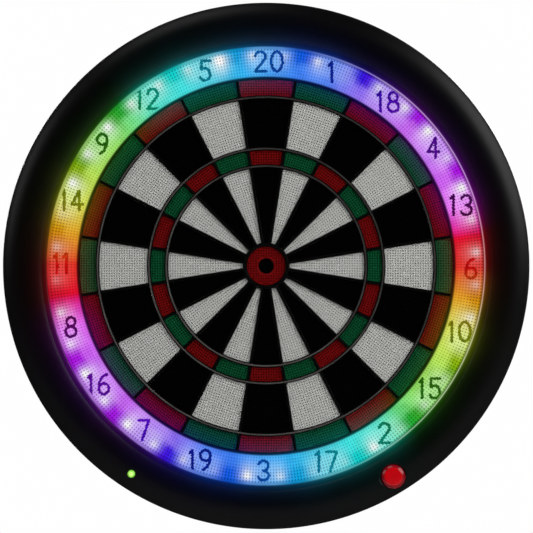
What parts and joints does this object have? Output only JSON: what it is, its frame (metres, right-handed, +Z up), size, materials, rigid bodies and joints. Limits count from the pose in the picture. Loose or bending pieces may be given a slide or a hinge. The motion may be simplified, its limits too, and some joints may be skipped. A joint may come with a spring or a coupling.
{
  "type": "electronic dartboard",
  "caption": "Round wall-hung electronic dartboard with sprung scoring segments in a black spider, a lit number ring, a black case and a red push button.",
  "frame": {"origin": "where the line of the hanging bolt meets the wall: the middle of the wall bracket's back face, behind the board's centre", "axes": "+Z up, +Y into the wall, so the board faces -Y, and +X to the player's right"},
  "size_m": [0.5548, 0.051, 0.5548],
  "materials": {
    "black_case": "satin black moulded case with fine grain",
    "spider_black": "black moulded frame, slightly glossy on its edges",
    "black_segment": "black nylon full of small dart holes",
    "white_segment": "off-white nylon full of small dart holes",
    "red_segment": "dark red nylon full of small dart holes",
    "green_segment": "dark green nylon full of small dart holes",
    "diffuser": "translucent perforated plastic, lit from behind in rainbow colours",
    "circuit_board": "green solder mask",
    "film": "printed polyester film",
    "foam": "closed-cell foam",
    "backing": "plain moulded tray",
    "button_red": "glossy red",
    "pilot_green": "lime light pipe, lit",
    "dark_plastic": "black moulded plastic",
    "spring_steel": "bright wire",
    "bracket_steel": "black powder coat",
    "bolt_zinc": "zinc plated",
    "rubber": "black moulded rubber"
  },
  "bodies": {
    "bracket": {"wall_bracket": "bracket_steel"},
    "board": {"front_bezel": "black_case", "rear_cover": "black_case", "spider": "spider_black", "light_ring": "diffuser", "led_ring_board": "circuit_board", "sensor_membrane": "film", "damping_pad": "foam", "backing_plate": "backing", "main_board": "circuit_board", "power_socket": "dark_plastic", "button_spring": "spring_steel", "button_switch": "dark_plastic", "indicator_lens": "pilot_green", "hanger_bolt": "bolt_zinc", "foot_left": "rubber", "foot_right": "rubber"},
    "button": {"button_cap": "button_red"},
    "outer_bull": {"outer_bull": "red_segment"},
    "inner_bull": {"inner_bull": "black_segment"},
    "single_20": {"single_20": "black_segment"},
    "double_treble_20": {"double_treble_20": "red_segment"},
    "single_01": {"single_01": "white_segment"},
    "double_treble_01": {"double_treble_01": "green_segment"},
    "single_18": {"single_18": "black_segment"},
    "double_treble_18": {"double_treble_18": "red_segment"},
    "single_04": {"single_04": "white_segment"},
    "double_treble_04": {"double_treble_04": "green_segment"},
    "single_13": {"single_13": "black_segment"},
    "double_treble_13": {"double_treble_13": "red_segment"},
    "single_06": {"single_06": "white_segment"},
    "double_treble_06": {"double_treble_06": "green_segment"},
    "single_10": {"single_10": "black_segment"},
    "double_treble_10": {"double_treble_10": "red_segment"},
    "single_15": {"single_15": "white_segment"},
    "double_treble_15": {"double_treble_15": "green_segment"},
    "single_02": {"single_02": "black_segment"},
    "double_treble_02": {"double_treble_02": "red_segment"},
    "single_17": {"single_17": "white_segment"},
    "double_treble_17": {"double_treble_17": "green_segment"},
    "single_03": {"single_03": "black_segment"},
    "double_treble_03": {"double_treble_03": "red_segment"},
    "single_19": {"single_19": "white_segment"},
    "double_treble_19": {"double_treble_19": "green_segment"},
    "single_07": {"single_07": "black_segment"},
    "double_treble_07": {"double_treble_07": "red_segment"},
    "single_16": {"single_16": "white_segment"},
    "double_treble_16": {"double_treble_16": "green_segment"},
    "single_08": {"single_08": "black_segment"},
    "double_treble_08": {"double_treble_08": "red_segment"},
    "single_11": {"single_11": "white_segment"},
    "double_treble_11": {"double_treble_11": "green_segment"},
    "single_14": {"single_14": "black_segment"},
    "double_treble_14": {"double_treble_14": "red_segment"},
    "single_09": {"single_09": "white_segment"},
    "double_treble_09": {"double_treble_09": "green_segment"},
    "single_12": {"single_12": "black_segment"},
    "double_treble_12": {"double_treble_12": "red_segment"},
    "single_05": {"single_05": "white_segment"},
    "double_treble_05": {"double_treble_05": "green_segment"}
  },
  "joints": [
    {"name": "board_lift", "type": "slide", "parent": "bracket", "child": "board", "axis": [0, 0, 1], "range_m": [0, 0.03]},
    {"name": "press_button", "type": "slide", "parent": "board", "child": "button", "axis": [0, 1, 0], "range_m": [0, 0.0015], "stiffness_N_per_m": 600, "deforming": ["button_spring"]},
    {"name": "press_outer_bull", "type": "slide", "parent": "board", "child": "outer_bull", "axis": [0, 1, 0], "range_m": [0, 0.0012], "stiffness_N_per_m": 900},
    {"name": "press_inner_bull", "type": "slide", "parent": "board", "child": "inner_bull", "axis": [0, 1, 0], "range_m": [0, 0.0012], "stiffness_N_per_m": 900},
    {"name": "press_single_20", "type": "slide", "parent": "board", "child": "single_20", "axis": [0, 1, 0], "range_m": [0, 0.0012], "stiffness_N_per_m": 900},
    {"name": "press_double_treble_20", "type": "slide", "parent": "board", "child": "double_treble_20", "axis": [0, 1, 0], "range_m": [0, 0.0012], "stiffness_N_per_m": 900},
    {"name": "press_single_01", "type": "slide", "parent": "board", "child": "single_01", "axis": [0, 1, 0], "range_m": [0, 0.0012], "stiffness_N_per_m": 900},
    {"name": "press_double_treble_01", "type": "slide", "parent": "board", "child": "double_treble_01", "axis": [0, 1, 0], "range_m": [0, 0.0012], "stiffness_N_per_m": 900},
    {"name": "press_single_18", "type": "slide", "parent": "board", "child": "single_18", "axis": [0, 1, 0], "range_m": [0, 0.0012], "stiffness_N_per_m": 900},
    {"name": "press_double_treble_18", "type": "slide", "parent": "board", "child": "double_treble_18", "axis": [0, 1, 0], "range_m": [0, 0.0012], "stiffness_N_per_m": 900},
    {"name": "press_single_04", "type": "slide", "parent": "board", "child": "single_04", "axis": [0, 1, 0], "range_m": [0, 0.0012], "stiffness_N_per_m": 900},
    {"name": "press_double_treble_04", "type": "slide", "parent": "board", "child": "double_treble_04", "axis": [0, 1, 0], "range_m": [0, 0.0012], "stiffness_N_per_m": 900},
    {"name": "press_single_13", "type": "slide", "parent": "board", "child": "single_13", "axis": [0, 1, 0], "range_m": [0, 0.0012], "stiffness_N_per_m": 900},
    {"name": "press_double_treble_13", "type": "slide", "parent": "board", "child": "double_treble_13", "axis": [0, 1, 0], "range_m": [0, 0.0012], "stiffness_N_per_m": 900},
    {"name": "press_single_06", "type": "slide", "parent": "board", "child": "single_06", "axis": [0, 1, 0], "range_m": [0, 0.0012], "stiffness_N_per_m": 900},
    {"name": "press_double_treble_06", "type": "slide", "parent": "board", "child": "double_treble_06", "axis": [0, 1, 0], "range_m": [0, 0.0012], "stiffness_N_per_m": 900},
    {"name": "press_single_10", "type": "slide", "parent": "board", "child": "single_10", "axis": [0, 1, 0], "range_m": [0, 0.0012], "stiffness_N_per_m": 900},
    {"name": "press_double_treble_10", "type": "slide", "parent": "board", "child": "double_treble_10", "axis": [0, 1, 0], "range_m": [0, 0.0012], "stiffness_N_per_m": 900},
    {"name": "press_single_15", "type": "slide", "parent": "board", "child": "single_15", "axis": [0, 1, 0], "range_m": [0, 0.0012], "stiffness_N_per_m": 900},
    {"name": "press_double_treble_15", "type": "slide", "parent": "board", "child": "double_treble_15", "axis": [0, 1, 0], "range_m": [0, 0.0012], "stiffness_N_per_m": 900},
    {"name": "press_single_02", "type": "slide", "parent": "board", "child": "single_02", "axis": [0, 1, 0], "range_m": [0, 0.0012], "stiffness_N_per_m": 900},
    {"name": "press_double_treble_02", "type": "slide", "parent": "board", "child": "double_treble_02", "axis": [0, 1, 0], "range_m": [0, 0.0012], "stiffness_N_per_m": 900},
    {"name": "press_single_17", "type": "slide", "parent": "board", "child": "single_17", "axis": [0, 1, 0], "range_m": [0, 0.0012], "stiffness_N_per_m": 900},
    {"name": "press_double_treble_17", "type": "slide", "parent": "board", "child": "double_treble_17", "axis": [0, 1, 0], "range_m": [0, 0.0012], "stiffness_N_per_m": 900},
    {"name": "press_single_03", "type": "slide", "parent": "board", "child": "single_03", "axis": [0, 1, 0], "range_m": [0, 0.0012], "stiffness_N_per_m": 900},
    {"name": "press_double_treble_03", "type": "slide", "parent": "board", "child": "double_treble_03", "axis": [0, 1, 0], "range_m": [0, 0.0012], "stiffness_N_per_m": 900},
    {"name": "press_single_19", "type": "slide", "parent": "board", "child": "single_19", "axis": [0, 1, 0], "range_m": [0, 0.0012], "stiffness_N_per_m": 900},
    {"name": "press_double_treble_19", "type": "slide", "parent": "board", "child": "double_treble_19", "axis": [0, 1, 0], "range_m": [0, 0.0012], "stiffness_N_per_m": 900},
    {"name": "press_single_07", "type": "slide", "parent": "board", "child": "single_07", "axis": [0, 1, 0], "range_m": [0, 0.0012], "stiffness_N_per_m": 900},
    {"name": "press_double_treble_07", "type": "slide", "parent": "board", "child": "double_treble_07", "axis": [0, 1, 0], "range_m": [0, 0.0012], "stiffness_N_per_m": 900},
    {"name": "press_single_16", "type": "slide", "parent": "board", "child": "single_16", "axis": [0, 1, 0], "range_m": [0, 0.0012], "stiffness_N_per_m": 900},
    {"name": "press_double_treble_16", "type": "slide", "parent": "board", "child": "double_treble_16", "axis": [0, 1, 0], "range_m": [0, 0.0012], "stiffness_N_per_m": 900},
    {"name": "press_single_08", "type": "slide", "parent": "board", "child": "single_08", "axis": [0, 1, 0], "range_m": [0, 0.0012], "stiffness_N_per_m": 900},
    {"name": "press_double_treble_08", "type": "slide", "parent": "board", "child": "double_treble_08", "axis": [0, 1, 0], "range_m": [0, 0.0012], "stiffness_N_per_m": 900},
    {"name": "press_single_11", "type": "slide", "parent": "board", "child": "single_11", "axis": [0, 1, 0], "range_m": [0, 0.0012], "stiffness_N_per_m": 900},
    {"name": "press_double_treble_11", "type": "slide", "parent": "board", "child": "double_treble_11", "axis": [0, 1, 0], "range_m": [0, 0.0012], "stiffness_N_per_m": 900},
    {"name": "press_single_14", "type": "slide", "parent": "board", "child": "single_14", "axis": [0, 1, 0], "range_m": [0, 0.0012], "stiffness_N_per_m": 900},
    {"name": "press_double_treble_14", "type": "slide", "parent": "board", "child": "double_treble_14", "axis": [0, 1, 0], "range_m": [0, 0.0012], "stiffness_N_per_m": 900},
    {"name": "press_single_09", "type": "slide", "parent": "board", "child": "single_09", "axis": [0, 1, 0], "range_m": [0, 0.0012], "stiffness_N_per_m": 900},
    {"name": "press_double_treble_09", "type": "slide", "parent": "board", "child": "double_treble_09", "axis": [0, 1, 0], "range_m": [0, 0.0012], "stiffness_N_per_m": 900},
    {"name": "press_single_12", "type": "slide", "parent": "board", "child": "single_12", "axis": [0, 1, 0], "range_m": [0, 0.0012], "stiffness_N_per_m": 900},
    {"name": "press_double_treble_12", "type": "slide", "parent": "board", "child": "double_treble_12", "axis": [0, 1, 0], "range_m": [0, 0.0012], "stiffness_N_per_m": 900},
    {"name": "press_single_05", "type": "slide", "parent": "board", "child": "single_05", "axis": [0, 1, 0], "range_m": [0, 0.0012], "stiffness_N_per_m": 900},
    {"name": "press_double_treble_05", "type": "slide", "parent": "board", "child": "double_treble_05", "axis": [0, 1, 0], "range_m": [0, 0.0012], "stiffness_N_per_m": 900}
  ]
}
